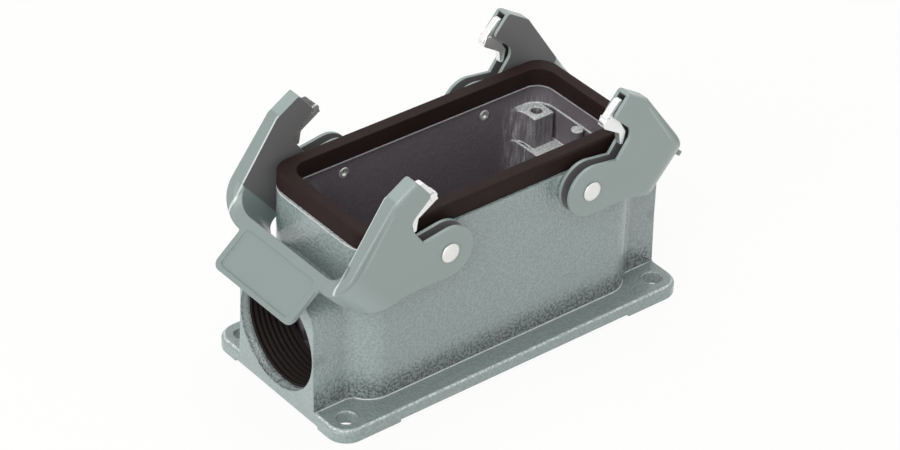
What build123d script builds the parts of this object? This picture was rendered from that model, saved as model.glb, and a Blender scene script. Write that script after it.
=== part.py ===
from build123d import *
import os
from math import acos, atan2, cos, degrees, hypot, radians, sin

# Surface-mounting housing of a heavy duty rectangular connector, with a rim seal
# and two locking levers. Millimetres, +Z up, origin at the middle of the foot,
# X along the housing with the cable entry at the -X end.

# Foot flange
hole_pitch_x = 105.0
hole_pitch_y = 45.0
hole_diameter = 5.5
hole_edge = 6.0
foot_top = 4.0
foot_corner = 6.0
foot_edge_slope = 1.0
pad_length = 19.5
pad_width = 10.5
pad_height = 0.8

# Walls of the body
body_length = 94.0
body_width = 43.0
body_corner = 8.5
ledge_above_pivot = 4.5
wall_side = 3.8
wall_end = 3.6
floor_top = 4.0
cavity_corner = 6.0

# Rim tongue that carries the seal
tongue_height = 3.3
tongue_outset = 1.5
tongue_thickness = 1.7

# Rim seal
seal_height = 5.2
seal_inset = 0.75
seal_corner = 6.0
seal_hole_corner = 5.0
seal_lip = 1.0
seal_fit = 0.05
seal_round = 0.5

# End bosses and cable entry
boss_width_foot = 32.8
boss_width_top = 31.8
boss_height = 37.4
boss_corner = 9.0
blind_boss_setback = 0.8
entry_diameter = 30.4
entry_height = 19.6
entry_mouth_diameter = 31.2
entry_mouth_depth = 3.0

# Pocket and ledge at the closed end
shelf_height = 35.0
shelf_length = 9.2
shelf_bite = 0.5
pocket_roof = 1.9
pocket_end_wall = 3.0
stub_diameter = 3.4
stub_setback = 1.7

# Posts for the four insert screws
post_pitch_x = 77.5
post_pitch_y = 27.0
post_below_ledge = 6.3
post_size = 6.7
post_hole = 3.3
post_hole_depth = 12.0
post_blend = 4.0

# Lever pivots
pivot_x = 23.65
pivot_above_boss = 9.1
pad_face = 22.3
pad_top_radius = 6.5
pad_base_radius = 9.0
pin_diameter = 3.3
pin_head_diameter = 5.6
pin_head_height = 0.8
head_gap = 0.1
pin_hole_fit = 0.05
pin_tail_fit = 0.02
lever_side_gap = 0.1

# Lever sheet and its bail, seen from the side: x outward and z up from the pivot
sheet = 1.1
arm_width = 4.6
lobe_radius = 7.6
shoulder = (8.5, 6.4)
hook_low = (12.0, 11.3)
hook_deep = (12.5, 13.1)
hook_high = (11.5, 15.4)
prong_heel = (6.5, 20.0)
prong_tip = (11.3, 25.8)
prong_round = 1.2
back_corner = (18.4, 21.4)
belly = (10.0, -7.5)
skirt_low = (20.6, -9.5)
skirt_run = (1, 0.05)

# Tab of the lever, measured down its own slope from the pivot
tab_slope = 40.2
tab_rise = 19.76
tab_waist = 28.3
tab_reach = 11.7
crossbar_width = 4.0
tab_width = 32.8
tab_thickness = 1.5
tab_corner = 2.5
tab_side_step = 1.1
tab_side_blend = 0.9
field_inner_margin = 2.6
field_outer_margin = 1.4
field_width = 29.2
field_depth = 0.5
field_corner = 1.2
opening_corner = 6.0
bend_radius = 1.2
ramp_length = 7.5
ramp_height = 2.5
ramp_run = (1, 0.5)
inner_wall_gap = 10.6
outer_wall_gap = 17.3
wall_flare = 10.0
wall_depth = 16.0
wall_margin = 0.2
web_overrun = 1.6
corner_drop = 9.0
skirt_drop = 10.3
skirt_lead = 1.2
roof_lift = 1.2
roof_lead = 1.0

# Latch springs in the arms
spring_width = 2.0
spring_top = (8.4, 24.0)
spring_nose = (3.6, 18.9)
spring_chin = (4.3, 16.9)
spring_throat = (9.6, 13.6)
spring_tail = (10.1, 10.0)
spring_tail_back = (11.1, 9.8)
spring_bend_back = (11.8, 13.6)
spring_waist = (8.8, 18.6)
spring_top_back = (9.8, 24.0)
spring_round = 0.7

# Worked out from the sizes above
foot_length = hole_pitch_x + 2 * hole_edge
foot_width = hole_pitch_y + 2 * hole_edge
foot_end = foot_length / 2
pivot_z = boss_height + pivot_above_boss
ledge_height = pivot_z + ledge_above_pivot
post_height = ledge_height - post_below_ledge
pocket_radius = shelf_height - pocket_roof - entry_height
pocket_end = foot_end - blind_boss_setback - pocket_end_wall
tab_inner_edge = tab_waist - crossbar_width
tab_outer_edge = tab_waist + tab_reach
field_start = tab_inner_edge + field_inner_margin
field_end = tab_outer_edge - field_outer_margin
body_end = body_length / 2
body_side = body_width / 2
cavity_side = body_side - wall_side
cavity_end = body_end - wall_end
tongue_top = ledge_height + tongue_height
tongue_side = body_side - tongue_outset
tongue_end = body_end - tongue_outset
tongue_corner = seal_corner - tongue_outset + seal_inset
lever_inner = pad_face + lever_side_gap
lever_outer = lever_inner + arm_width
bail_corner = lever_outer - tab_width / 2 - tab_side_step
channel_inner = lever_inner + sheet
channel_outer = lever_outer - sheet

hair = 0.01
upward = 0.3
slope = radians(tab_slope)
tab_down = (cos(slope), -sin(slope))
tab_up = (sin(slope), cos(slope))


def on_tab(along, rise):
    """A point of the lever's side view, given along the tab's slope and square to it."""
    x = along * tab_down[0] + rise * tab_up[0]
    z = along * tab_down[1] + rise * tab_up[1]
    return (x, z)


def shifted(a, b, gap):
    """The line from a to b moved sideways by gap, towards the right of its direction."""
    dx = b[0] - a[0]
    dz = b[1] - a[1]
    size = hypot(dx, dz)
    step = (gap * dz / size, -gap * dx / size)
    return (a[0] + step[0], a[1] + step[1]), (b[0] + step[0], b[1] + step[1])


# Housing: one aluminium casting
with BuildPart() as housing:
    with BuildSketch():
        RectangleRounded(foot_length, foot_width, foot_corner)
    extrude(amount=foot_top)
    chamfer(housing.faces().sort_by(Axis.Z)[-1].edges(), foot_edge_slope)
    # walls
    with BuildSketch(Plane.XY.offset(foot_top)):
        RectangleRounded(body_length, body_width, body_corner)
    extrude(amount=ledge_height - foot_top)
    # bosses at both ends, one section along the whole foot
    with BuildSketch(Plane.YZ) as boss_section:
        with BuildLine():
            Polyline(
                (-boss_width_foot / 2, 0),
                (boss_width_foot / 2, 0),
                (boss_width_foot / 2, foot_top),
                (boss_width_top / 2, entry_height),
                (boss_width_top / 2, boss_height),
                (-boss_width_top / 2, boss_height),
                (-boss_width_top / 2, entry_height),
                (-boss_width_foot / 2, foot_top),
                close=True,
            )
        make_face()
        fillet(boss_section.vertices().group_by(Axis.Y)[-1], boss_corner)
    extrude(amount=-foot_end)
    extrude(boss_section.sketch, amount=foot_end - blind_boss_setback)
    # low cones round the pivots
    for end in (-1, 1):
        for side in (-1, 1):
            with BuildSketch(Plane.XY.offset(pivot_z)):
                with BuildLine():
                    Polyline(
                        (end * pivot_x, side * cavity_side),
                        (end * pivot_x + pad_base_radius, side * cavity_side),
                        (end * pivot_x + pad_base_radius, side * body_side),
                        (end * pivot_x + pad_top_radius, side * pad_face),
                        (end * pivot_x, side * pad_face),
                        close=True,
                    )
                make_face()
            revolve(axis=Axis((end * pivot_x, 0, pivot_z), (0, 1, 0)))
    with BuildSketch(Plane.XY.offset(ledge_height)):
        Rectangle(foot_length, foot_width)
    extrude(amount=pad_base_radius, mode=Mode.SUBTRACT)
    # tongue that the seal sits on
    with BuildSketch(Plane.XY.offset(ledge_height)):
        RectangleRounded(2 * tongue_end, 2 * tongue_side, tongue_corner)
    extrude(amount=tongue_height)
    # cavity
    with BuildSketch(Plane.XY.offset(floor_top)):
        RectangleRounded(2 * cavity_end, 2 * cavity_side, cavity_corner)
    extrude(amount=tongue_top - floor_top, mode=Mode.SUBTRACT)
    with BuildSketch(Plane.XY.offset(ledge_height)):
        RectangleRounded(
            2 * (tongue_end - tongue_thickness),
            2 * (tongue_side - tongue_thickness),
            tongue_corner - tongue_thickness,
        )
    extrude(amount=tongue_height, mode=Mode.SUBTRACT)
    # posts for the insert screws, blended into the walls
    for end in (-1, 1):
        for side in (-1, 1):
            with BuildSketch(Plane.XY.offset(floor_top)):
                with BuildLine():
                    x_in = end * (post_pitch_x - post_size) / 2
                    x_out = end * (post_pitch_x + post_size) / 2
                    x_blend = x_in - end * post_blend
                    y_in = side * (post_pitch_y - post_size) / 2
                    y_wall = side * cavity_side
                    y_deep = side * (cavity_side + wall_side / 2)
                    y_blend = side * (cavity_side - post_blend)
                    Polyline((x_in, y_blend), (x_in, y_in), (x_out, y_in), (x_out, y_deep))
                    Polyline((x_out, y_deep), (x_blend, y_deep), (x_blend, y_wall))
                    JernArc((x_blend, y_wall), (end, 0), post_blend, -end * side * 90)
                make_face()
            extrude(amount=post_height - floor_top)
    with BuildSketch(Plane.XY.offset(post_height)):
        with GridLocations(post_pitch_x, post_pitch_y, 2, 2):
            Circle(post_hole / 2)
    extrude(amount=-post_hole_depth, mode=Mode.SUBTRACT)
    # ledge over the blind pocket at the closed end
    with BuildSketch(Plane.XY.offset(floor_top)):
        with Locations((cavity_end - (shelf_length - shelf_bite) / 2, 0)):
            Rectangle(shelf_length + shelf_bite, 2 * (cavity_side + shelf_bite))
    extrude(amount=shelf_height - floor_top)
    with BuildSketch(Plane.XY.offset(floor_top)):
        with Locations((cavity_end - stub_setback, 0)):
            Circle(stub_diameter / 2)
    extrude(amount=post_height - floor_top)
    with BuildSketch(Plane.YZ.offset(pocket_end)):
        with Locations((0, entry_height)):
            Circle(pocket_radius)
    extrude(amount=cavity_end - shelf_length - pocket_end, mode=Mode.SUBTRACT)
    # cable entry
    with BuildSketch(Plane.YZ.offset(-foot_end)):
        with Locations((0, entry_height)):
            Circle(entry_diameter / 2)
    extrude(amount=foot_end - cavity_end, mode=Mode.SUBTRACT)
    with BuildSketch(Plane.YZ.offset(-foot_end)):
        with Locations((0, entry_height)):
            Circle(entry_mouth_diameter / 2)
    extrude(amount=entry_mouth_depth, mode=Mode.SUBTRACT)
    # fixing holes
    with BuildSketch(Plane.XY):
        with GridLocations(hole_pitch_x, hole_pitch_y, 2, 2):
            Circle(hole_diameter / 2)
    extrude(amount=foot_top, mode=Mode.SUBTRACT)
    # the underside is relieved between the four corner pads
    with BuildSketch(Plane.XY):
        Rectangle(foot_length - 2 * pad_length, foot_width)
        Rectangle(foot_length, foot_width - 2 * pad_width)
    extrude(amount=pad_height, mode=Mode.SUBTRACT)
    # rivet holes through the side walls
    with BuildSketch(Plane.XZ):
        with Locations((-pivot_x, pivot_z), (pivot_x, pivot_z)):
            Circle(pin_diameter / 2 + pin_tail_fit)
    extrude(amount=pad_face, both=True, mode=Mode.SUBTRACT)
housing.part.label = "housing"

# Rim seal: a rubber ring with a groove underneath that grips the tongue
with BuildPart() as rim_seal:
    with BuildSketch(Plane.XY.offset(ledge_height)):
        RectangleRounded(2 * (body_end - seal_inset), 2 * (body_side - seal_inset), seal_corner)
    extrude(amount=seal_height)
    chamfer(rim_seal.faces().sort_by(Axis.Z)[-1].edges(), seal_round)
    with BuildSketch(Plane.XY.offset(ledge_height)):
        RectangleRounded(2 * (cavity_end - seal_lip), 2 * (cavity_side - seal_lip), seal_hole_corner)
    extrude(amount=seal_height, mode=Mode.SUBTRACT)
    with BuildSketch(Plane.XY.offset(ledge_height)):
        RectangleRounded(
            2 * (tongue_end + seal_fit), 2 * (tongue_side + seal_fit), tongue_corner + seal_fit
        )
        RectangleRounded(
            2 * (tongue_end - tongue_thickness - seal_fit),
            2 * (tongue_side - tongue_thickness - seal_fit),
            tongue_corner - tongue_thickness - seal_fit,
            mode=Mode.SUBTRACT,
        )
    extrude(amount=tongue_height + seal_fit, mode=Mode.SUBTRACT)
rim_seal.part.label = "rim_seal"

# Planes of the right lever: its side view, and square on to its tab
side_view = Plane((pivot_x, 0, pivot_z), x_dir=(1, 0, 0), z_dir=(0, -1, 0))
tab_view = Plane(
    (pivot_x + tab_rise * tab_up[0], 0, pivot_z + tab_rise * tab_up[1]),
    x_dir=(tab_down[0], 0, tab_down[1]),
    z_dir=(tab_up[0], 0, tab_up[1]),
)
across_tab = Plane(tab_view.origin, x_dir=(0, 1, 0), z_dir=tab_view.x_dir)
web_meets_tab = on_tab(tab_waist + web_overrun, tab_rise)
skirt_corner = on_tab(tab_waist + web_overrun, tab_rise - corner_drop)
skirt_end = on_tab(tab_waist - skirt_lead, tab_rise - skirt_drop)
far_reach = 3 * lever_outer
opening_start = tab_waist - bail_corner

# Hollow of the arms: everything between the two plates and under the web
tip_a, tip_b = shifted(prong_tip, back_corner, sheet)
web_a, web_b = shifted(back_corner, web_meets_tab, sheet)
with BuildPart() as arm_hollow:
    with BuildSketch(side_view):
        with BuildLine():
            Polyline(
                (-far_reach, tip_a[1]),
                tip_a,
                ((tip_b[0] + web_a[0]) / 2, (tip_b[1] + web_a[1]) / 2),
                on_tab(opening_start + roof_lead, tab_rise + roof_lift),
                on_tab(tab_inner_edge, tab_rise - tab_thickness),
                on_tab(tab_outer_edge, tab_rise - tab_thickness),
                (on_tab(tab_outer_edge, 0)[0], -far_reach),
                (-far_reach, -far_reach),
                close=True,
            )
        make_face()
    extrude(amount=lever_outer, both=True)
    with BuildSketch(tab_view) as bail_band:
        with Locations(((tab_waist - sheet - far_reach) / 2, 0)):
            RectangleRounded(
                tab_waist - sheet + far_reach, 2 * (lever_outer - sheet), bail_corner - sheet
            )
        with Locations(((tab_inner_edge + sheet - 2 * far_reach) / 2, 0)):
            RectangleRounded(
                tab_inner_edge + sheet + 2 * far_reach,
                2 * (lever_inner + sheet),
                opening_corner + sheet,
                mode=Mode.SUBTRACT,
            )
    extrude(amount=far_reach, both=True, mode=Mode.INTERSECT)

# Right lever: a sheet pressing, two channelled arms joined by the bail and its tab
with BuildPart() as right_lever:
    with BuildSketch(side_view):
        with BuildLine() as arm_line:
            lobe_start = degrees(atan2(shoulder[1], shoulder[0]) + acos(lobe_radius / hypot(*shoulder)))
            lobe_end = degrees(atan2(belly[1], belly[0]) - acos(lobe_radius / hypot(*belly)))
            lobe = CenterArc((0, 0), lobe_radius, lobe_start, lobe_end + 360 - lobe_start)
            Line(lobe @ 1, belly)
            belly_run = (belly[0] - (lobe @ 1).X, belly[1] - (lobe @ 1).Y)
            Spline(belly, skirt_low, skirt_end, tangents=[belly_run, skirt_run])
            Line(skirt_end, skirt_corner)
            Line(skirt_corner, web_meets_tab)
            Line(web_meets_tab, back_corner)
            Line(back_corner, prong_tip)
            FilletPolyline(prong_tip, prong_heel, hook_high, radius=prong_round)
            ThreePointArc(hook_high, hook_deep, hook_low)
            Line(hook_low, shoulder)
            Line(shoulder, lobe @ 0)
        make_face()
    extrude(amount=lever_outer, both=True)
    # rounded corners of the bail, seen square on to the tab
    with BuildSketch(tab_view):
        with Locations(((tab_waist - far_reach) / 2, 0)):
            RectangleRounded(tab_waist + far_reach, 2 * lever_outer, bail_corner)
    extrude(amount=far_reach, both=True, mode=Mode.INTERSECT)
    # outer bend of the pressing, all along the back and round the prong's tip
    back_faces = faces().filter_by(lambda face: min(face.normal_at().X, face.normal_at().Z) > upward)
    bends = back_faces.edges().filter_by(Axis.Y, reverse=True)
    tips = back_faces.edges().filter_by(Axis.Y).sort_by(Axis.Z)[-1:]
    fillet(bends + tips, bend_radius)
    # the crossbar is lower than the arms and flows up into them
    with BuildSketch(across_tab.offset(opening_start)):
        with BuildLine():
            ramp_end = tab_width / 2 + ramp_length
            ramp_fall = (ramp_run[0], -ramp_run[1])
            Line((-tab_width / 2, 0), (tab_width / 2, 0))
            Spline((tab_width / 2, 0), (ramp_end, ramp_height), tangents=[(1, 0), ramp_run])
            Polyline(
                (ramp_end, ramp_height),
                (ramp_end, far_reach),
                (-ramp_end, far_reach),
                (-ramp_end, ramp_height),
            )
            Spline((-ramp_end, ramp_height), (-tab_width / 2, 0), tangents=[ramp_fall, (1, 0)])
        make_face()
    extrude(amount=tab_outer_edge, mode=Mode.SUBTRACT)
    # opening of the bail
    with BuildSketch(tab_view):
        with Locations(((tab_inner_edge - 2 * far_reach) / 2, 0)):
            RectangleRounded(tab_inner_edge + 2 * far_reach, 2 * lever_inner, opening_corner)
    extrude(amount=far_reach, both=True, mode=Mode.SUBTRACT)
    add(arm_hollow.part, mode=Mode.SUBTRACT)
    # under the tab the side walls fade out
    with BuildSketch(across_tab.offset(opening_start)):
        with BuildLine():
            Polyline(
                (-inner_wall_gap, -tab_thickness),
                (inner_wall_gap, -tab_thickness),
                (inner_wall_gap + wall_flare, -wall_depth),
                (-inner_wall_gap - wall_flare, -wall_depth),
                close=True,
            )
        make_face()
    extrude(amount=tab_waist - sheet - wall_margin - opening_start, mode=Mode.SUBTRACT)
    with BuildSketch(across_tab.offset(tab_inner_edge + sheet)):
        with BuildLine():
            Polyline(
                (-outer_wall_gap, -tab_thickness),
                (outer_wall_gap, -tab_thickness),
                (outer_wall_gap + wall_flare, -wall_depth),
                (-outer_wall_gap - wall_flare, -wall_depth),
                close=True,
            )
        make_face()
    extrude(amount=tab_outer_edge, mode=Mode.SUBTRACT)
    # crossbar and tab in one plate
    with BuildSketch(tab_view) as tab_outline:
        with Locations(((tab_inner_edge + tab_outer_edge) / 2, 0)):
            RectangleRounded(tab_outer_edge - tab_inner_edge, tab_width, tab_corner)
        with Locations(((tab_inner_edge + tab_waist) / 2, 0)):
            Rectangle(tab_waist - tab_inner_edge, 2 * (lever_outer - bail_corner))
        corners = tab_outline.vertices().filter_by(lambda v: abs(abs(v.Y) - tab_width / 2) < hair)
        fillet(corners.filter_by(lambda v: abs(v.X - tab_waist) < hair), tab_side_blend)
    extrude(amount=-tab_thickness)
    with BuildSketch(tab_view):
        with Locations(((field_start + field_end) / 2, 0)):
            RectangleRounded(field_end - field_start, field_width, field_corner)
    extrude(amount=-field_depth, mode=Mode.SUBTRACT)
    # rivet holes
    with BuildSketch(side_view):
        Circle(pin_diameter / 2 + pin_hole_fit)
    extrude(amount=lever_outer, both=True, mode=Mode.SUBTRACT)
right_lever.part.label = "right_lever"

# Latch springs: a bright sprung strip in each arm that closes over the mating pin
with BuildPart() as right_lever_far_spring:
    spring_middle = (channel_inner + channel_outer) / 2
    with BuildSketch(side_view.offset(-spring_middle)) as spring_outline:
        with BuildLine():
            Polyline(
                spring_top,
                spring_nose,
                spring_chin,
                spring_throat,
                spring_tail,
                spring_tail_back,
                spring_bend_back,
                spring_waist,
                spring_top_back,
                close=True,
            )
        make_face()
        for bend in (spring_nose, spring_throat, spring_bend_back, spring_waist):
            fillet(spring_outline.vertices().sort_by_distance((*bend, 0))[0], spring_round)
    extrude(amount=spring_width / 2, both=True)
right_lever_far_spring.part.label = "right_lever_far_spring"
with BuildPart() as right_lever_near_spring:
    add(mirror(right_lever_far_spring.part, about=Plane.XZ))
right_lever_near_spring.part.label = "right_lever_near_spring"
with BuildPart() as left_lever_far_spring:
    add(mirror(right_lever_far_spring.part, about=Plane.YZ))
left_lever_far_spring.part.label = "left_lever_far_spring"
with BuildPart() as left_lever_near_spring:
    add(mirror(right_lever_near_spring.part, about=Plane.YZ))
left_lever_near_spring.part.label = "left_lever_near_spring"

# Pivot rivets: a shank held in the wall, which the lever turns on, and a flat head
with BuildPart() as right_far_rivet:
    with BuildSketch(Plane((pivot_x, 0, pivot_z), z_dir=(0, 0, 1))):
        with BuildLine():
            Polyline(
                (0, cavity_side),
                (pin_diameter / 2, cavity_side),
                (pin_diameter / 2, lever_outer + head_gap),
                (pin_head_diameter / 2, lever_outer + head_gap),
                (pin_head_diameter / 2, lever_outer + head_gap + pin_head_height),
                (0, lever_outer + head_gap + pin_head_height),
                close=True,
            )
        make_face()
    revolve(axis=Axis((pivot_x, 0, pivot_z), (0, 1, 0)))
right_far_rivet.part.label = "right_far_rivet"
with BuildPart() as right_near_rivet:
    add(mirror(right_far_rivet.part, about=Plane.XZ))
right_near_rivet.part.label = "right_near_rivet"
with BuildPart() as left_far_rivet:
    add(mirror(right_far_rivet.part, about=Plane.YZ))
left_far_rivet.part.label = "left_far_rivet"
with BuildPart() as left_near_rivet:
    add(mirror(right_near_rivet.part, about=Plane.YZ))
left_near_rivet.part.label = "left_near_rivet"

# Left lever: the same pressing turned to the other end
with BuildPart() as left_lever:
    add(mirror(right_lever.part, about=Plane.YZ))
left_lever.part.label = "left_lever"

os.makedirs("parts", exist_ok=True)
export_step(housing.part, "parts/housing.step")
export_step(rim_seal.part, "parts/rim_seal.step")
export_step(right_lever.part, "parts/right_lever.step")
export_step(left_lever.part, "parts/left_lever.step")
export_step(right_lever_far_spring.part, "parts/right_lever_far_spring.step")
export_step(right_lever_near_spring.part, "parts/right_lever_near_spring.step")
export_step(left_lever_far_spring.part, "parts/left_lever_far_spring.step")
export_step(left_lever_near_spring.part, "parts/left_lever_near_spring.step")
export_step(right_far_rivet.part, "parts/right_far_rivet.step")
export_step(right_near_rivet.part, "parts/right_near_rivet.step")
export_step(left_far_rivet.part, "parts/left_far_rivet.step")
export_step(left_near_rivet.part, "parts/left_near_rivet.step")
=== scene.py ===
from math import radians, sqrt, tau

import bmesh
import bpy
from mathutils import Matrix, Vector
from mathutils.bvhtree import BVHTree


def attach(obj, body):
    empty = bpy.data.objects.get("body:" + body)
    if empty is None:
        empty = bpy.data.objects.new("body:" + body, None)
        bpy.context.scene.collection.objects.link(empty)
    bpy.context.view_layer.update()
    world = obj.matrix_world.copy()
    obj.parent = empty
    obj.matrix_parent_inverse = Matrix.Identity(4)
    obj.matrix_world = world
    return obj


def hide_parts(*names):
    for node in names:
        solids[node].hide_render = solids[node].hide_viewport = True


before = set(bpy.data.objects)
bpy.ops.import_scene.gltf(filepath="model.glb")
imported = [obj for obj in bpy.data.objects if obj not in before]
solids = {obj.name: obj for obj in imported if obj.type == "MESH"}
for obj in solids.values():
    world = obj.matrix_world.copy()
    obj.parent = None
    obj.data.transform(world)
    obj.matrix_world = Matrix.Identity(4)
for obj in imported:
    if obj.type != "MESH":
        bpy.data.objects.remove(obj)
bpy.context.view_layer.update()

# The photographer's table: a plain pale floor under soft white light, seen through a
# long lens from the cable-entry end, a little above the open rim.
millimetre = 0.001
camera_right = Vector((0.7815446, -0.6230058, 0.03243172))
camera_up = Vector((0.33511231, 0.46310281, 0.82050931))
camera_back = Vector((-0.52620127, -0.63039635, 0.57071241))
camera_place = Vector((-476.280, -568.774, 545.730)) * millimetre
camera_data = bpy.data.cameras.new("photo_camera")
camera_data.sensor_fit = "HORIZONTAL"
camera_data.sensor_width = 36.0
camera_data.lens = 136.32
camera_data.clip_start = 0.05
camera = bpy.data.objects.new("photo_camera", camera_data)
turn = Matrix((camera_right, camera_up, camera_back)).transposed().to_4x4()
camera.matrix_world = Matrix.Translation(camera_place) @ turn
bpy.context.scene.collection.objects.link(camera)
bpy.context.scene.camera = camera
bpy.context.scene.view_settings.view_transform = "Standard"


class Value:
    """A socket of a finish. Sums written with it add their Math nodes."""

    def __init__(self, finish, socket):
        self.finish = finish
        self.socket = socket

    def sum_of(self, operation, *values):
        return self.finish.node("ShaderNodeMath", {"operation": operation}, values)

    def __add__(self, other):
        return self.sum_of("ADD", self, other)

    def __sub__(self, other):
        return self.sum_of("SUBTRACT", self, other)

    def __rsub__(self, other):
        return self.sum_of("SUBTRACT", other, self)

    def __mul__(self, other):
        return self.sum_of("MULTIPLY", self, other)

    def __pow__(self, other):
        return self.sum_of("POWER", self, other)

    def __abs__(self):
        return self.sum_of("ABSOLUTE", self)

    __radd__ = __add__
    __rmul__ = __mul__


class Finish:
    """The nodes of a piece's material, or of the studio round it."""

    def __init__(self, owner):
        self.owner = owner
        self.owner.use_nodes = True
        self.tree = self.owner.node_tree
        self.tree.nodes.clear()

    def node(self, kind, settings, inputs, output=0):
        made = self.tree.nodes.new(kind)
        for key, value in settings.items():
            setattr(made, key, value)
        pairs = inputs.items() if isinstance(inputs, dict) else enumerate(inputs)
        for key, value in pairs:
            if isinstance(value, Value):
                self.tree.links.new(value.socket, made.inputs[key])
            else:
                made.inputs[key].default_value = value
        return Value(self, made.outputs[output]) if made.outputs else made

    def parts_of(self, value, names):
        """Several outputs of the node that a value comes from."""
        return [Value(self, value.socket.node.outputs[name]) for name in names]

    def seen_rays(self):
        """The rays by which the backdrop is seen: straight, mirrored or through glass."""
        path = self.node("ShaderNodeLightPath", {}, {})
        return self.parts_of(path, ("Is Camera Ray", "Is Glossy Ray", "Is Transmission Ray"))

    def place(self):
        return self.node("ShaderNodeTexCoord", {}, {}, "Object")

    def axes(self, point):
        """The three coordinates of a point, in millimetres."""
        inputs = {0: point, "Scale": 1 / millimetre}
        scaled = self.node("ShaderNodeVectorMath", {"operation": "SCALE"}, inputs)
        split = self.node("ShaderNodeSeparateXYZ", {}, [scaled])
        return self.parts_of(split, "XYZ")

    def rise(self, value, none, full):
        """A mask that grows smoothly from 0 at one value to 1 at another."""
        settings = {"interpolation_type": "SMOOTHSTEP"}
        return self.node("ShaderNodeMapRange", settings, [value, none, full, 0.0, 1.0])

    def band(self, value, start, full, fade, end):
        """A mask that rises between two values and falls again between two others."""
        return self.rise(value, start, full) * self.rise(value, end, fade)

    def stretched(self, point, amounts):
        return self.node("ShaderNodeVectorMath", {"operation": "MULTIPLY"}, [point, amounts])

    def noise(self, point, size, detail, rough):
        """A cloudy pattern whose spots are about one size across."""
        inputs = {"Vector": point, "Scale": 1 / size, "Detail": detail, "Roughness": rough}
        return self.node("ShaderNodeTexNoise", {}, inputs)

    def mix(self, amount, first, second):
        """A blend of two colours, which are sockets 6 and 7 of the node and its output 2."""
        first = first if isinstance(first, Value) else (*first, 1.0)
        second = second if isinstance(second, Value) else (*second, 1.0)
        inputs = {0: amount, 6: first, 7: second}
        return self.node("ShaderNodeMix", {"data_type": "RGBA"}, inputs, 2)

    def bump(self, height, depth, strength):
        """A normal that makes a pattern look raised by a depth."""
        inputs = {"Height": height, "Distance": depth, "Strength": strength}
        return self.node("ShaderNodeBump", {}, inputs)

    def surface(self, shader, kind="ShaderNodeOutputMaterial"):
        self.node(kind, {}, {"Surface": shader})
        return self.owner

    def principled(self, **sockets):
        named = {key.replace("_", " "): value for key, value in sockets.items()}
        return self.surface(self.node("ShaderNodeBsdfPrincipled", {}, named))


white = (1.0, 1.0, 1.0, 1.0)
paper_white = (0.86, 0.86, 0.85, 1.0)
glow_white = (1.0, 1.0, 0.995, 1.0)
glow_share = 0.92
floor_sheet = bmesh.new()
bmesh.ops.create_grid(floor_sheet, x_segments=2, y_segments=2, size=4.0)
floor_mesh = bpy.data.meshes.new("floor")
floor_sheet.to_mesh(floor_mesh)
floor_sheet.free()
floor = bpy.data.objects.new("floor", floor_mesh)
bpy.context.scene.collection.objects.link(floor)
table = Finish(bpy.data.materials.new("table_paper"))
camera_ray, glossy_ray, clear_ray = table.seen_rays()
paper = table.node("ShaderNodeBsdfDiffuse", {}, {"Color": paper_white})
glow = table.node("ShaderNodeEmission", {}, {"Color": glow_white, "Strength": 1.0})
seen = table.node("ShaderNodeMixShader", {}, [glow_share, paper, glow])
seen_at_all = camera_ray + glossy_ray + clear_ray
sheet = table.node("ShaderNodeMixShader", {}, [seen_at_all, paper, seen])
floor_mesh.materials.append(table.surface(sheet))

studio = Finish(bpy.data.worlds.new("studio"))
air = studio.node("ShaderNodeBackground", {}, {"Color": white, "Strength": 0.6})
backdrop = studio.node("ShaderNodeBackground", {}, {"Color": white, "Strength": 1.0})
for ray in studio.seen_rays():
    air = studio.node("ShaderNodeMixShader", {}, [ray, air, backdrop])
bpy.context.scene.world = studio.surface(air, "ShaderNodeOutputWorld")

lamp_aim = Vector((0, 0, 0.03))


def soft_box(name, place, size, power):
    lamp = bpy.data.lights.new(name, "AREA")
    lamp.shape = "SQUARE"
    lamp.size = size
    lamp.energy = power
    box = bpy.data.objects.new(name, lamp)
    aimed = (Vector(place) - lamp_aim).to_track_quat("Z", "Y").to_matrix().to_4x4()
    box.matrix_world = Matrix.Translation(place) @ aimed
    bpy.context.scene.collection.objects.link(box)


soft_box("key_light", place=(-0.75, -0.5, 0.9), size=0.7, power=4.6)
soft_box("end_light", place=(-1.1, -0.15, 0.35), size=0.8, power=5.0)
soft_box("top_light", place=(0.25, 0.3, 1.1), size=0.8, power=3.2)

# The housing: one aluminium die casting, painted grey-green over a pebbled skin, its
# edges rounded by the die. The tops of the posts and the shelf are left bare; painted shade and
# highlights are mixed into the paint.
foot_hole_x = 52.5
post_x = 38.75
pivot_x = 23.65
above_all = 80.0
weld_gap = 0.002
fine_gap = 0.001
touch_gap = 0.05
hole_rows = (
    (foot_hole_x, -1.0, 4.2),
    (post_x, 40.0, 46.0),
    (pivot_x, 30.0, above_all),
)


def welded(node):
    """A copy of a CAD solid, its triangles joined into faces cut at each row of holes.

    A row is given by its distance from the middle and the heights between which it is cut.
    """
    form = bmesh.new()
    form.from_mesh(solids[node].data)
    bmesh.ops.remove_doubles(form, verts=form.verts, dist=weld_gap * millimetre)
    rows = [((0, 0, 0), (0, 1, 0), -1.0, above_all)]
    for along, low, high in hole_rows:
        rows += [((end * along * millimetre, 0, 0), (1, 0, 0), low, high) for end in (-1, 1)]
    for point, normal, low, high in rows:
        faces = [
            face
            for face in form.faces
            if low < face.calc_center_median().z / millimetre < high
        ]
        edges = {edge for face in faces for edge in face.edges}
        verts = {vert for face in faces for vert in face.verts}
        cut = bmesh.ops.bisect_plane(
            form,
            geom=[*verts, *edges, *faces],
            dist=fine_gap * millimetre,
            plane_co=point,
            plane_no=normal,
        )
        for part in cut["geom_cut"]:
            if isinstance(part, bmesh.types.BMEdge):
                part.seam = True
    bmesh.ops.dissolve_limit(
        form, angle_limit=radians(0.3), verts=form.verts, edges=form.edges, delimit={"SEAM"}
    )
    return form


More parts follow.
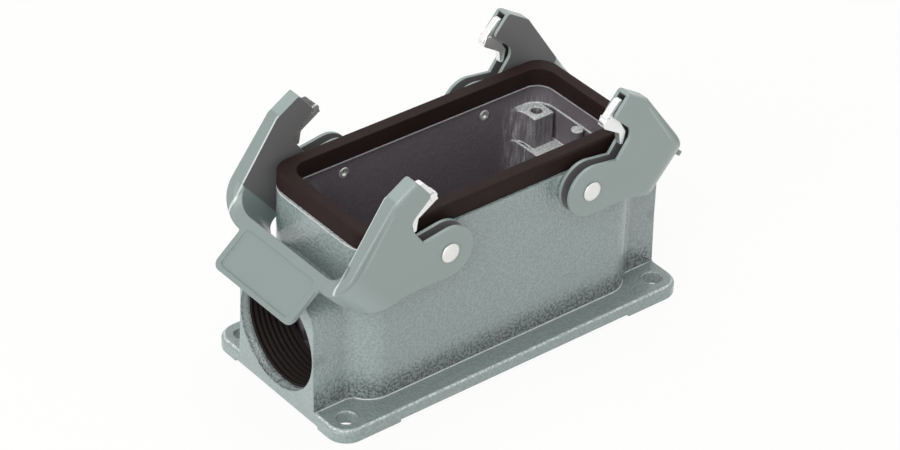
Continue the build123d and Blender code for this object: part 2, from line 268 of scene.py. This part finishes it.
def soften(form, width, least_angle, kept=()):
    """Round the edges that bend by more than an angle, apart from those kept sharp.

    Points that the rounding throws off the form, where many edges meet, go back onto it.
    """
    sharp_form = BVHTree.FromBMesh(form)
    folded = [edge for edge in form.edges if len(edge.link_faces) == 2 and edge not in kept]
    bmesh.ops.bevel(
        form,
        geom=[edge for edge in folded if edge.calc_face_angle() > radians(least_angle)],
        offset=width * millimetre,
        affect="EDGES",
        segments=2,
        profile=0.5,
        clamp_overlap=False,
        material=-1,
    )
    for vertex in form.verts:
        nearest, _, _, gap = sharp_form.find_nearest(vertex.co)
        if gap > 0.5 * width * millimetre:
            vertex.co = nearest
    bmesh.ops.remove_doubles(form, verts=form.verts, dist=0.02 * millimetre)


def finished(name, form, material, body, slot, *nodes):
    """Make a form into a piece that rides on a body and stands for CAD nodes."""
    mesh = bpy.data.meshes.new(name)
    form.to_mesh(mesh)
    form.free()
    mesh.polygons.foreach_set("use_smooth", [True] * len(mesh.polygons))
    mesh.set_sharp_from_angle(angle=radians(50))
    mesh.materials.append(material)
    piece = bpy.data.objects.new(name, mesh)
    bpy.context.scene.collection.objects.link(piece)
    shading = piece.modifiers.new("even_shading", "WEIGHTED_NORMAL")
    shading.keep_sharp = True
    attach(piece, body)
    if nodes:
        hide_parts(*nodes)


cavity_length = 86.8
cavity_width = 35.4
floor_top = 4.0
post_top = 44.7
post_start = 34.0
shelf_top = 35.0
shelf_start = 33.0
ledge_height = 51.0
# Where the painted highlight on the ledge begins, measured from the middle.
ledge_highlight_from = 40.0
entry_height = 19.6
entry_radius = 15.2
entry_mouth = -55.5
entry_end = -43.0
streaks_start = Vector((29.5, 8.0))
streaks_full = Vector((32.0, 12.0))
mouth_radius = 16.0
boss_half_width = 16.2
foot_end = 58.5
foot_top = 4.0
paint_dull = (0.262, 0.33, 0.32)
paint_fresh = (0.295, 0.362, 0.352)
# Painted shade colour, for the pebble hollows and the low band of wall above the foot.
painted_shade_dark = (0.085, 0.09, 0.092)
# Painted shade colour, for the foot's top face and the wall of the entry mouth.
painted_shade_flat = (0.13, 0.16, 0.15)
# Painted highlight colour, for light lines along the foot's edges.
edge_highlight_colour = (0.66, 0.7, 0.69)
inside_light = (0.185, 0.16, 0.178)
inside_dark = (0.13, 0.115, 0.128)
bore_brown = (0.02, 0.0145, 0.0125)
# Painted highlight colour, for the ledge under the seal at both ends.
ledge_highlight_colour = (0.55, 0.58, 0.58)
metal_dull = (0.5, 0.53, 0.52)
metal_bright = (0.95, 0.97, 0.96)

casting = Finish(bpy.data.materials.new("painted_casting"))
spot = casting.place()
x, y, z = casting.axes(spot)
above_foot_top = z - foot_top
pebble = casting.noise(spot, size=0.72 * millimetre, detail=1.0, rough=0.5)
waves = casting.noise(spot, size=3.0 * millimetre, detail=1.0, rough=0.5)
blotch = casting.noise(spot, size=9 * millimetre, detail=3.0, rough=0.5)
scratches = casting.noise(spot, size=0.5 * millimetre, detail=4.0, rough=0.65)
drawn_down = casting.stretched(spot, (1, 1, 0.12))
streaks = casting.noise(drawn_down, size=0.8 * millimetre, detail=3.0, rough=0.6)
within = (
    casting.rise(abs(x), cavity_length / 2 + 0.3, cavity_length / 2 + 0.1)
    * casting.rise(abs(y), cavity_width / 2 + 0.2, cavity_width / 2 + 0.1)
    * casting.rise(z, floor_top - 0.6, floor_top - 0.4)
)
outside = 1.0 - within
from_bore = (y ** 2.0 + (z - entry_height) ** 2.0) ** 0.5
in_bore = (
    casting.rise(from_bore, entry_radius + 0.6, entry_radius + 0.5)
    * casting.rise(x, entry_end + 1.0, entry_end)
    * casting.rise(x, entry_mouth - 0.2, entry_mouth)
)
on_post = casting.band(z - post_top, -0.45, -0.3, 0.3, 0.4)
on_post = on_post * casting.rise(abs(x), post_start, post_start + 1.0)
on_shelf = casting.band(z - shelf_top, -0.5, -0.3, 0.2, 0.3)
on_shelf = on_shelf * casting.rise(x, shelf_start, shelf_start + 0.6)
beside_post = (
    casting.rise(abs(x), streaks_start.x, streaks_full.x)
    * casting.rise(abs(y), streaks_start.y, streaks_full.y)
    * casting.rise(streaks, 0.38, 0.8)
    * casting.rise(z - post_top, 4.0, -2.0)
)
bare = within * (1.0 - (1.0 - on_post) * (1.0 - on_shelf) * (1.0 - 0.5 * beside_post))
# Painted highlight: the ledge just under the seal is lightened towards both ends.
ledge_highlight = casting.rise(z - ledge_height, -0.3, -0.15)
ledge_highlight = ledge_highlight * casting.rise(abs(x), ledge_highlight_from, ledge_highlight_from + 4.0)
# Painted shade: the hollows of the pebbling are darkened, and more so in a band of wall just above the
# foot.
hollows = casting.rise(pebble, 0.62, 0.36)
off_ends = casting.rise(abs(x), foot_end - 0.1, foot_end - 0.4)
low_wall_shade = casting.band(above_foot_top, 0.1, 0.4, 2.0, 10.0) * off_ends
shaded = hollows * (0.05 + 0.15 * off_ends + 0.5 * low_wall_shade) + 0.25 * low_wall_shade
# Painted shade: the wall of the entry mouth and the top face of the foot are darkened.
by_mouth = casting.rise(abs(x), -entry_mouth - 0.8, -entry_mouth - 0.4)
by_mouth = by_mouth * casting.rise(abs(y), boss_half_width + 0.1, boss_half_width - 0.1)
mouth_wall = by_mouth * off_ends * casting.rise(from_bore, mouth_radius + 0.1, mouth_radius - 0.1)
foot_face = casting.band(above_foot_top, -0.1, -0.03, 0.02, 0.06)
# Painted highlight: light lines along the crease where the wall meets the foot and along the foot's
# outer top edge, speckled by the pebbling.
foot_line = casting.band(above_foot_top, 0.0, 0.06, 0.26, 0.36)
foot_edge = casting.band(above_foot_top, -0.62, -0.42, -0.16, -0.02)
edge_highlights = foot_line * 0.75 + foot_edge * (0.3 + 0.55 * casting.rise(pebble, 0.45, 0.6))
colour = casting.mix(blotch, paint_dull, paint_fresh)
colour = casting.mix(shaded, colour, painted_shade_dark)
colour = casting.mix(0.3 * foot_face + 0.35 * mouth_wall, colour, painted_shade_flat)
colour = casting.mix(edge_highlights * outside * (1.0 - by_mouth), colour, edge_highlight_colour)
colour = casting.mix(ledge_highlight, colour, ledge_highlight_colour)
colour = casting.mix(within, colour, casting.mix(pebble, inside_light, inside_dark))
colour = casting.mix(in_bore, colour, bore_brown)
metal = casting.mix(casting.rise(scratches, 0.35, 0.65), metal_dull, metal_bright)
pebbling = (0.85 - 0.45 * within) * (1.0 - 0.85 * in_bore)
painted_casting = casting.principled(
    Base_Color=casting.mix(bare, colour, metal),
    Roughness=0.26 + 0.25 * within,
    Metallic=0.12 * bare,
    Normal=casting.bump(pebble + waves * 0.35, depth=0.5 * millimetre, strength=pebbling),
    Coat_Roughness=0.12,
    Coat_Weight=outside * (1.0 - in_bore) * 0.6,
)

thread_root = 15.58
lip_start = -55.0
lip_radius = 15.8


def from_entry(vertex):
    """The way from the axis of the cable entry out to a vertex."""
    return Vector((0, vertex.co.y, vertex.co.z - entry_height * millimetre))


def on_lip(edge):
    """Whether an edge lies round the thin mouth of the cable entry."""
    return all(
        vertex.co.x < lip_start * millimetre
        and from_entry(vertex).length < lip_radius * millimetre
        for vertex in edge.verts
    )


body = welded("housing")
for vertex in body.verts:
    beside = from_entry(vertex)
    off_bore = abs(beside.length - entry_radius * millimetre)
    if vertex.co.x < entry_end * millimetre and off_bore < touch_gap * millimetre:
        vertex.co += beside.normalized() * (thread_root - entry_radius) * millimetre
soften(body, width=0.28, least_angle=25, kept={edge for edge in body.edges if on_lip(edge)})
finished("casting_body", body, painted_casting, "base", "painted_casting", "housing")

# The thread of the cable entry: turns cut into the wall of the casting's bore, dark brown
# inside. A cable gland would screw into it from outside.
thread_crest = 15.1
thread_pitch = 1.5
thread_turns = 8
thread_steps = 96
thread_start = entry_mouth + 0.25
crest_flat = 0.3
last_flat = 0.8
lead_in = 0.2
lead_out = 1.0
groove_reach = 0.9
groove_depth = thread_root - 0.04
sunk_in_wall = thread_root + 0.02
bore_dark = (0.013, 0.01, 0.0085)
bore_worn = (0.024, 0.0175, 0.016)


def lathe(form, centre, axis, across, profile, steps):
    """Turn a line of (radius, reach) points, in millimetres, round an axis."""
    centre, axis, across = Vector(centre), Vector(axis), Vector(across)
    points = [
        form.verts.new((centre + across * radius + axis * reach) * millimetre)
        for radius, reach in profile
    ]
    line = [form.edges.new(pair) for pair in zip(points, points[1:])]
    bmesh.ops.spin(
        form,
        geom=points + line,
        cent=centre * millimetre,
        axis=axis,
        angle=tau,
        steps=steps,
        use_merge=True,
    )
    bmesh.ops.remove_doubles(form, verts=form.verts, dist=fine_gap * millimetre)
    bmesh.ops.recalc_face_normals(form, faces=form.faces)


bore = Finish(bpy.data.materials.new("entry_paint"))
bore_grain = bore.noise(bore.place(), size=0.8 * millimetre, detail=3.0, rough=0.6)
entry_paint = bore.principled(
    Base_Color=bore.mix(bore_grain, bore_dark, bore_worn),
    Roughness=0.5 + 0.2 * bore_grain,
    Normal=bore.bump(bore_grain, depth=0.1 * millimetre, strength=0.5),
    Specular_IOR_Level=0.12,
)
thread_profile = [(sunk_in_wall, thread_start - lead_in)]
for crest in range(thread_turns - 1):
    here = thread_start + crest * thread_pitch
    thread_profile += [(thread_crest, here), (thread_crest, here + crest_flat)]
    thread_profile += [(groove_depth, here + groove_reach)]
thread_end = thread_start + (thread_turns - 1) * thread_pitch
thread_profile += [(thread_crest, thread_end), (thread_crest, thread_end + last_flat)]
thread_profile += [(sunk_in_wall, thread_end + lead_out), thread_profile[0]]
thread = bmesh.new()
lathe(
    thread,
    centre=(0, 0, entry_height),
    axis=(1, 0, 0),
    across=(0, 1, 0),
    profile=thread_profile,
    steps=thread_steps,
)
finished("entry_thread", thread, entry_paint, "base", "painted_casting")

# The hollows beside the end bosses: part of the same casting, rounded by the die where
# each boss runs into the body, and fading out over the round of the boss.
body_corner = Vector((38.5, 13.0))
body_corner_radius = 8.5
body_end = 47.0
boss_foot_half = 16.4
boss_draft = 0.5
boss_crown_half = 6.9
boss_crown_radius = 9.0
boss_crown_height = 28.4
valley_radius = 4.5
valley_steps = 8
valley_root = 1.0
valley_sunk = 0.02
valley_heights = (3.8, 12.0, 19.6, 24.0, 28.4, 31.0, 33.2, 34.8, 36.0, 36.8, 37.2)


def boss_side(height):
    """Half the width of an end boss at a height."""
    if height < entry_height:
        share = (height - foot_top) / (entry_height - foot_top)
        return boss_foot_half - boss_draft * share
    over_crown = max(height - boss_crown_height, 0)
    return boss_crown_half + sqrt(boss_crown_radius ** 2 - over_crown ** 2)


def hollow_ring(valley, end, hand, height):
    """The outline of a hollow at a height: an arc from boss to body, closed in the wall."""
    side_y = boss_side(height) - valley_sunk
    lift = side_y + valley_radius
    reach = body_corner_radius + valley_radius
    if lift > body_corner.y:
        run = sqrt(reach ** 2 - (lift - body_corner.y) ** 2)
        middle = Vector((body_corner.x + run, lift))
        toward = (body_corner - middle).normalized()
    else:
        middle = Vector((body_end + valley_radius, lift))
        toward = Vector((-1, 0))
    start = valley.verts.new(Vector((end * middle.x, hand * side_y, height)) * millimetre)
    spun = bmesh.ops.spin(
        valley,
        geom=[start],
        cent=Vector((end * middle.x, hand * middle.y, height)) * millimetre,
        axis=(0, 0, -end * hand),
        angle=Vector((0, -1)).angle(toward),
        steps=valley_steps,
    )
    last = [part for part in spun["geom_last"] if isinstance(part, bmesh.types.BMVert)][0]
    root_place = Vector((end * (body_end - valley_root), hand * (side_y - valley_root), height))
    root = valley.verts.new(root_place * millimetre)
    valley.edges.new((last, root))
    valley.edges.new((root, start))
    level = height * millimetre
    return [
        edge
        for edge in valley.edges
        if all(abs(vertex.co.z - level) < fine_gap * millimetre for vertex in edge.verts)
    ]


for end, side in ((-1, "left"), (1, "right")):
    for hand, place in ((-1, "near"), (1, "far")):
        valley = bmesh.new()
        rings = [hollow_ring(valley, end, hand, height) for height in valley_heights]
        for lower, upper in zip(rings, rings[1:]):
            bmesh.ops.bridge_loops(valley, edges=lower + upper)
        bmesh.ops.contextual_create(valley, geom=rings[0])
        bmesh.ops.contextual_create(valley, geom=rings[-1])
        bmesh.ops.recalc_face_normals(valley, faces=valley.faces)
        name = "boss_valley_" + side + "_" + place
        finished(name, valley, painted_casting, "base", "painted_casting")

# A painted highlight along the rim: a narrow bright metal band on the inner side of the seal,
# standing in for the light caught by the edge of the casting. It is built as a thin ring.
rim_margin = 0.2
rim_corner = 6.1
rim_width = 1.2
rim_drop = 0.3
rim_thickness = 0.28
rim_highlight_dull = (0.55, 0.55, 0.57)
rim_highlight_bright = (0.9, 0.9, 0.92)
rim_highlight_ring = bmesh.new()
bmesh.ops.create_grid(rim_highlight_ring, x_segments=1, y_segments=1, size=0.5)
rim_size = (cavity_length + rim_margin, cavity_width + rim_margin, 1)
bmesh.ops.scale(rim_highlight_ring, vec=rim_size, verts=rim_highlight_ring.verts)
bmesh.ops.bevel(
    rim_highlight_ring,
    geom=rim_highlight_ring.verts[:],
    offset=rim_corner,
    affect="VERTICES",
    segments=10,
    profile=0.5,
    clamp_overlap=False,
    material=-1,
)
bmesh.ops.translate(rim_highlight_ring, vec=(0, 0, ledge_height - rim_drop), verts=rim_highlight_ring.verts)
bmesh.ops.scale(rim_highlight_ring, vec=(millimetre,) * 3, verts=rim_highlight_ring.verts)
middle_face = rim_highlight_ring.faces[:]
bmesh.ops.inset_region(
    rim_highlight_ring,
    faces=middle_face,
    use_boundary=True,
    use_even_offset=True,
    thickness=rim_width * millimetre,
)
bmesh.ops.delete(rim_highlight_ring, geom=middle_face, context="FACES")
raised = bmesh.ops.extrude_face_region(rim_highlight_ring, geom=rim_highlight_ring.faces[:])
raised_points = [part for part in raised["geom"] if isinstance(part, bmesh.types.BMVert)]
bmesh.ops.translate(rim_highlight_ring, vec=(0, 0, rim_thickness * millimetre), verts=raised_points)
bmesh.ops.recalc_face_normals(rim_highlight_ring, faces=rim_highlight_ring.faces)
# The ring's bright metal colour is a painted highlight.
rim_highlight_finish = Finish(bpy.data.materials.new("rim_highlight_metal"))
rim_mottle = rim_highlight_finish.noise(rim_highlight_finish.place(), size=1.5 * millimetre, detail=3.0, rough=0.6)
rim_highlight_metal = rim_highlight_finish.principled(
    Base_Color=rim_highlight_finish.mix(rim_mottle, rim_highlight_dull, rim_highlight_bright),
    Metallic=0.5,
    Roughness=0.35 + 0.2 * rim_mottle,
    Normal=rim_highlight_finish.bump(rim_mottle, depth=0.05 * millimetre, strength=0.4),
)
finished("rim_highlight_ring", rim_highlight_ring, rim_highlight_metal, "base", "painted_casting")

# The rim seal: a moulded ring of brown-black rubber, dull and slightly bloomed, that is
# pushed down over the tongue on the rim of the housing.
rubber_dark = (0.017, 0.0085, 0.008)
rubber_bloomed = (0.026, 0.014, 0.013)
rubber = Finish(bpy.data.materials.new("seal_rubber"))
rubber_spot = rubber.place()
rubber_grain = rubber.noise(rubber_spot, size=0.6 * millimetre, detail=3.0, rough=0.6)
rubber_bloom = rubber.noise(rubber_spot, size=7 * millimetre, detail=2.0, rough=0.5)
seal_rubber = rubber.principled(
    Base_Color=rubber.mix(rubber_bloom, rubber_dark, rubber_bloomed),
    Roughness=0.5 + 0.2 * rubber_grain,
    Normal=rubber.bump(rubber_grain, depth=0.12 * millimetre, strength=0.5),
    Specular_IOR_Level=0.12,
)
seal = welded("rim_seal")
soften(seal, width=0.22, least_angle=30)
finished("rubber_seal", seal, seal_rubber, "base", "seal_rubber", "rim_seal")

# The two locking levers: sheet steel pressings, painted smooth in the housing's colour
# outside and rougher inside, where painted shade darkens them. The web flares a little towards the
# outer plate.
# Their outlines are measured from the pivot for the right lever and mirrored for the left.
sides = (("right", 1), ("left", -1))
pivot_z = 46.5
plate_inner = 22.4
plate_outer = 27.0
web_top = Vector((18.4, 21.4))
web_across = Vector((0.83, 0.557))
web_down = Vector((0.557, -0.83))
prong_across = Vector((0.527, 0.85))
tab_across = Vector((0.6455, 0.7638))
sheet_back = -0.7
channel_end = 24.0
flare = 1.0
flare_run = 19.0
flare_depth = 6
tab_rise = 19.76
ramp_start = 18.8
ramp_side = 23.9
ramp_lift = 3.1
ramp_low = 1.0
lever_dull = (0.25, 0.308, 0.295)
lever_fresh = (0.275, 0.335, 0.322)
# Painted shade colour, for the web's outer face and the top of the tab.
lever_shade = (0.14, 0.175, 0.165)
# Painted highlight colour, for light lines along the web's edges.
lever_highlight = (0.62, 0.68, 0.66)
# Painted shade colour, for the channels and the inward faces.
lever_inside_shade = (0.155, 0.153, 0.153)


def facing(paint, direction):
    """How far a face is turned towards a direction, from -1 to 1."""
    normal = paint.node("ShaderNodeTexCoord", {}, {}, "Normal")
    settings = {"operation": "DOT_PRODUCT"}
    return paint.node("ShaderNodeVectorMath", settings, [normal, direction], "Value")


def pressing_paint(side, sign):
    """The paint of one lever: smooth outside, rougher in the channels and inside, with painted shade
    there and on the web, and painted highlights along its edges.
    """
    paint = Finish(bpy.data.materials.new("painted_lever_" + side))
    spot = paint.place()
    x, y, z = paint.axes(spot)
    wide = abs(y)
    out = sign * x - (pivot_x + web_top.x)
    up = z - (pivot_z + web_top.y)
    from_web = out * web_across.x + up * web_across.y
    from_prong = out * prong_across.x + up * prong_across.y
    down_web = out * web_down.x + up * web_down.y
    along_tab = (sign * x - pivot_x) * tab_across.y - (z - pivot_z) * tab_across.x
    upturned = facing(paint, (sign * tab_across.x, 0, tab_across.y))
    downturned = facing(paint, (sign * web_down.x, 0, web_down.y))
    in_channel = (
        paint.band(wide, plate_inner + 0.95, plate_inner + 1.1, plate_outer - 1.1, plate_outer - 0.95)
        * paint.rise(from_web, sheet_back, sheet_back - 0.3)
        * paint.rise(from_prong, sheet_back, sheet_back - 0.3)
        * paint.rise(down_web, channel_end, channel_end - 1.0)
    )
    inward = (
        paint.rise(wide, plate_inner + 0.06, plate_inner + 0.02)
        * paint.rise(upturned, 0.5, 0.3)
        * paint.rise(downturned, 0.6, 0.4)
        * paint.rise(along_tab, ramp_start + 0.4, ramp_start)
    )
    # Painted shade: the channels and the inward faces are darkened; they are also rougher and less
    # coated.
    rough_and_shaded = 1.0 - (1.0 - in_channel) * (1.0 - inward)
    # Painted highlights: light lines along the web's inner edge and along its outer fold.
    web_edge_highlight = (
        paint.rise(from_web, -0.5, -0.3)
        * paint.band(wide, plate_inner - 0.4, plate_inner - 0.1, plate_inner + 0.3, plate_inner + 0.5)
        * paint.rise(upturned, 0.2, 0.4)
    )
    fold_highlight = (
        paint.band(from_web, -1.7, -1.5, -1.3, -1.1)
        * paint.rise(wide, plate_outer - 0.1, plate_outer)
        * paint.band(down_web, 1.0, 3.0, 15.0, 21.0)
    )
    # Painted shade: the web's outer face and the top of the tab are darkened.
    tab_top = paint.rise(along_tab, ramp_start - 1.5, ramp_start - 0.3)
    tab_top = tab_top * paint.rise(upturned, 0.3, 0.6)
    web_face = 1.0 - (1.0 - paint.rise(from_web, -0.6, -0.35)) * (1.0 - tab_top)
    blotch = paint.noise(spot, size=8 * millimetre, detail=3.0, rough=0.5)
    peel = paint.noise(spot, size=1.4 * millimetre, detail=2.0, rough=0.5)
    colour = paint.mix(blotch, lever_dull, lever_fresh)
    colour = paint.mix(0.5 * web_face, colour, lever_shade)
    colour = paint.mix(0.8 * web_edge_highlight + 0.25 * fold_highlight, colour, lever_highlight)
    return paint.principled(
        Base_Color=paint.mix(rough_and_shaded, colour, lever_inside_shade),
        Roughness=0.34 + 0.2 * rough_and_shaded,
        Normal=paint.bump(peel, depth=0.05 * millimetre, strength=0.5),
        Coat_Roughness=0.15,
        Coat_Weight=0.35 - 0.3 * rough_and_shaded,
    )


def from_pivot(vertex, sign):
    """A vertex's place out and up from the pivot and its distance from the middle."""
    place = vertex.co / millimetre
    return Vector((sign * place.x - pivot_x, place.z - pivot_z)), abs(place.y)


def moved(vertex, sign, across, amount):
    """Move a vertex along the outward side of a sheet."""
    vertex.co.x += sign * amount * across.x * millimetre
    vertex.co.z += amount * across.y * millimetre


def held(share):
    """A share kept between none and all."""
    return min(max(share, 0), 1)


for side, sign in sides:
    lever = welded(side + "_lever")
    corner = Vector((sign * (pivot_x + web_top.x), 0, pivot_z + web_top.y)) * millimetre
    down = Vector((sign * web_down.x, 0, web_down.y))
    bmesh.ops.bisect_plane(
        lever,
        geom=lever.verts[:] + lever.edges[:] + lever.faces[:],
        dist=fine_gap * millimetre,
        plane_co=corner + down * flare_run * millimetre,
        plane_no=down,
    )
    for vertex in lever.verts:
        spot, wide = from_pivot(vertex, sign)
        along = spot.x * tab_across.y - spot.y * tab_across.x
        above = spot.dot(tab_across) - tab_rise
        beside_ramp = plate_inner - 0.1 < wide < ramp_side + 0.1
        at_ramp = abs(along - ramp_start) < touch_gap and beside_ramp
        if at_ramp and ramp_low < above < ramp_lift:
            moved(vertex, sign, tab_across, ramp_lift - above)
    soften(lever, width=0.2, least_angle=30)
    for vertex in lever.verts:
        spot, wide = from_pivot(vertex, sign)
        run = (spot - web_top).dot(web_down) / flare_run
        depth = (spot - web_top).dot(web_across) / flare_depth
        over = (wide - plate_inner) / (plate_outer - plate_inner)
        moved(vertex, sign, web_across, flare * held(over) * held(run) * held(1 + depth))
    paint = pressing_paint(side, sign)
    node = side + "_lever"
    finished(side + "_pressing", lever, paint, side + "_latch", "painted_lever", node)

# The latch springs: bright sprung strips, one in each lever arm, that bear on the pin
# of the mating hood. The nose is folded into a small box that stands out of the slot.
places = (("far", 1), ("near", -1))
nose_low = Vector((3.7, 17.6))
nose_high = Vector((4.6, 20.2))
nose_depth = 2.0
nose_half_width = 1.35
nose_wall = 0.35
nose_hollow = 0.7
spring_middle = (plate_inner + plate_outer) / 2
steel_dull = (0.82, 0.83, 0.82)
steel_bright = (0.93, 0.93, 0.92)
steel = Finish(bpy.data.materials.new("spring_steel"))
steel_mottle = steel.noise(steel.place(), size=1.2 * millimetre, detail=3.0, rough=0.5)
spring_steel = steel.principled(
    Base_Color=steel.mix(steel_mottle, steel_dull, steel_bright),
    Metallic=0.85,
    Roughness=0.3 + 0.15 * steel_mottle,
    Normal=steel.bump(steel_mottle, depth=0.04 * millimetre, strength=0.4),
)


def nose_box(strip, sign, hand):
    """Add the folded nose to a strip, with the hollow in its upper end."""
    rise = (nose_high - nose_low).normalized()
    back = Vector((rise.y, -rise.x))
    middle = (nose_low + nose_high) / 2 + back * nose_depth / 2
    turned = Matrix(((sign * back.x, 0, sign * rise.x), (0, 1, 0), (back.y, 0, rise.y)))
    spot = Vector((sign * (pivot_x + middle.x), hand * spring_middle, pivot_z + middle.y))
    lengths = (nose_depth, 2 * nose_half_width, (nose_high - nose_low).length, 1)
    size = Matrix.Scale(millimetre, 4) @ Matrix.Diagonal(lengths)
    placed = Matrix.Translation(spot * millimetre) @ turned.to_4x4() @ size
    box = bmesh.ops.create_cube(strip, size=1.0, matrix=placed)
    faces = {face for vertex in box["verts"] for face in vertex.link_faces}
    top = max(faces, key=lambda face: face.calc_center_median().z)
    bmesh.ops.inset_individual(strip, faces=[top], thickness=nose_wall * millimetre)
    for vertex in top.verts:
        vertex.co.z -= nose_hollow * millimetre


for side, sign in sides:
    for place, hand in places:
        node = side + "_lever_" + place + "_spring"
        strip = welded(node)
        nose_box(strip, sign, hand)
        bmesh.ops.recalc_face_normals(strip, faces=strip.faces)
        soften(strip, width=0.16, least_angle=30)
        name = side + "_" + place + "_spring_strip"
        finished(name, strip, spring_steel, side + "_latch", "spring_steel", node)

# The pivot rivets: turned steel, with a low domed head outside the lever and a tail
# that is clenched into a ring with a dimple inside the wall.
rivet_dull = (0.7, 0.7, 0.68)
rivet_bright = (0.88, 0.88, 0.86)
rivet_steps = 40
rivet_profile = (
    (0.0, 27.9),
    (1.4, 27.84),
    (2.2, 27.7),
    (2.65, 27.45),
    (2.78, 27.25),
    (2.7, 27.12),
    (1.6, 27.1),
    (1.6, 17.8),
    (1.66, 17.62),
    (1.5, 17.45),
    (1.1, 17.42),
    (0.72, 17.55),
    (0.55, 17.9),
    (0.0, 18.1),
)
turned_steel = Finish(bpy.data.materials.new("rivet_steel"))
turned_mottle = turned_steel.noise(turned_steel.place(), size=0.8 * millimetre, detail=3.0, rough=0.55)
rivet_steel = turned_steel.principled(
    Base_Color=turned_steel.mix(turned_mottle, rivet_dull, rivet_bright),
    Metallic=0.8,
    Roughness=0.28 + 0.2 * turned_mottle,
    Normal=turned_steel.bump(turned_mottle, depth=0.05 * millimetre, strength=0.5),
)
for side, sign in sides:
    for place, hand in places:
        rivet = bmesh.new()
        lathe(
            rivet,
            centre=(sign * pivot_x, 0, pivot_z),
            axis=(0, hand, 0),
            across=(1, 0, 0),
            profile=rivet_profile,
            steps=rivet_steps,
        )
        node = side + "_" + place + "_rivet"
        name = side + "_" + place + "_pivot"
        finished(name, rivet, rivet_steel, "base", "rivet_steel", node)
